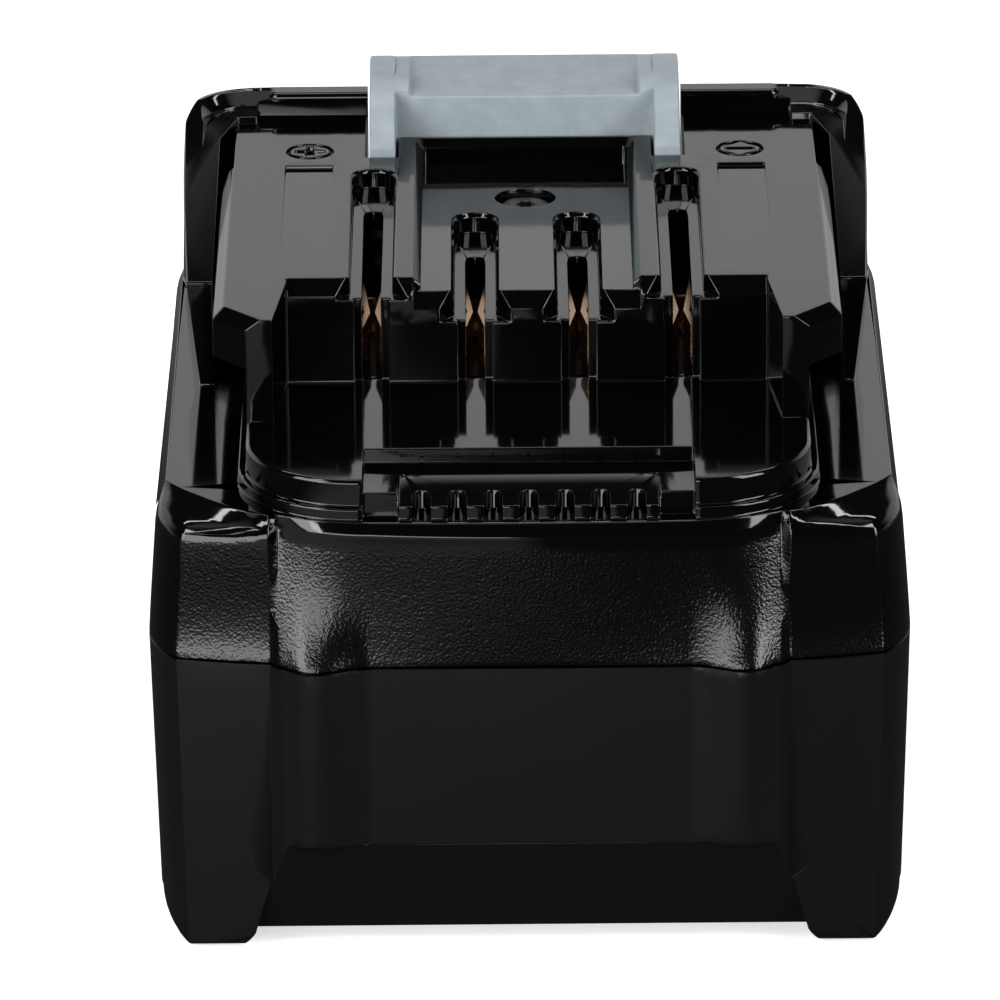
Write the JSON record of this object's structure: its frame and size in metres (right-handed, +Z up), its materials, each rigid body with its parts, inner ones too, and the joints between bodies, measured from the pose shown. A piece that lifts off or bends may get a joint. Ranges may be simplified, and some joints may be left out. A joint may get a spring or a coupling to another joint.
{
  "type": "power tool battery pack",
  "caption": "Slide-on battery pack for cordless tools: two-part case, rails and blade slots on top, sprung grey release latch at the rear.",
  "frame": {"origin": "on the surface the skids stand on, under the centre of the case's box", "axes": "+Z up through the terminals, +Y from the terminal end to the latch end, +X to the right seen from the terminal end"},
  "size_m": [0.0768, 0.0889, 0.0676],
  "materials": {
    "case_satin": "satin black moulded plastic with a fine grain",
    "case_gloss": "black moulded plastic, polished on top and grained at the front",
    "latch_grey": "smooth blue-grey moulded plastic",
    "spring_steel": "drawn spring wire",
    "screw_steel": "zinc-plated steel",
    "cell_wrap": "shrink sleeve over a steel can",
    "holder_plastic": "plain black moulded plastic",
    "nickel": "nickel strip",
    "board_green": "printed circuit board with solder mask",
    "chip_black": "moulded chip body",
    "can_metal": "drawn aluminium can",
    "contact_copper": "tinned copper-alloy spring leaf"
  },
  "bodies": {
    "pack": {"lower_case": "case_satin", "upper_case": "case_gloss", "latch_springs": "spring_steel", "case_screws": "screw_steel", "cover_screw": "screw_steel", "board_screws": "screw_steel", "cell_holder_left": "holder_plastic", "cell_holder_right": "holder_plastic", "strip_negative": "nickel", "strip_series_front": "nickel", "strip_series_middle": "nickel", "strip_series_rear": "nickel", "strip_positive": "nickel", "circuit_board": "board_green", "microcontroller": "chip_black", "power_transistors": "chip_black", "capacitors": "can_metal", "fuse": "chip_black", "terminal_block": "holder_plastic", "terminal_positive": "contact_copper", "terminal_signal_left": "contact_copper", "terminal_signal_right": "contact_copper", "terminal_negative": "contact_copper", "temperature_sensor": "chip_black", "cell_lower_1": "cell_wrap", "cell_lower_2": "cell_wrap", "cell_lower_3": "cell_wrap", "cell_lower_4": "cell_wrap", "cell_upper_1": "cell_wrap", "cell_upper_2": "cell_wrap", "cell_upper_3": "cell_wrap", "cell_upper_4": "cell_wrap"},
    "latch": {"latch": "latch_grey"}
  },
  "joints": [
    {"name": "latch_press", "type": "slide", "parent": "pack", "child": "latch", "axis": [0, 0, 1], "range_m": [-0.0065, 0], "stiffness_N_per_m": 700, "springref_m": 0.004, "deforming": ["latch_springs"]}
  ]
}
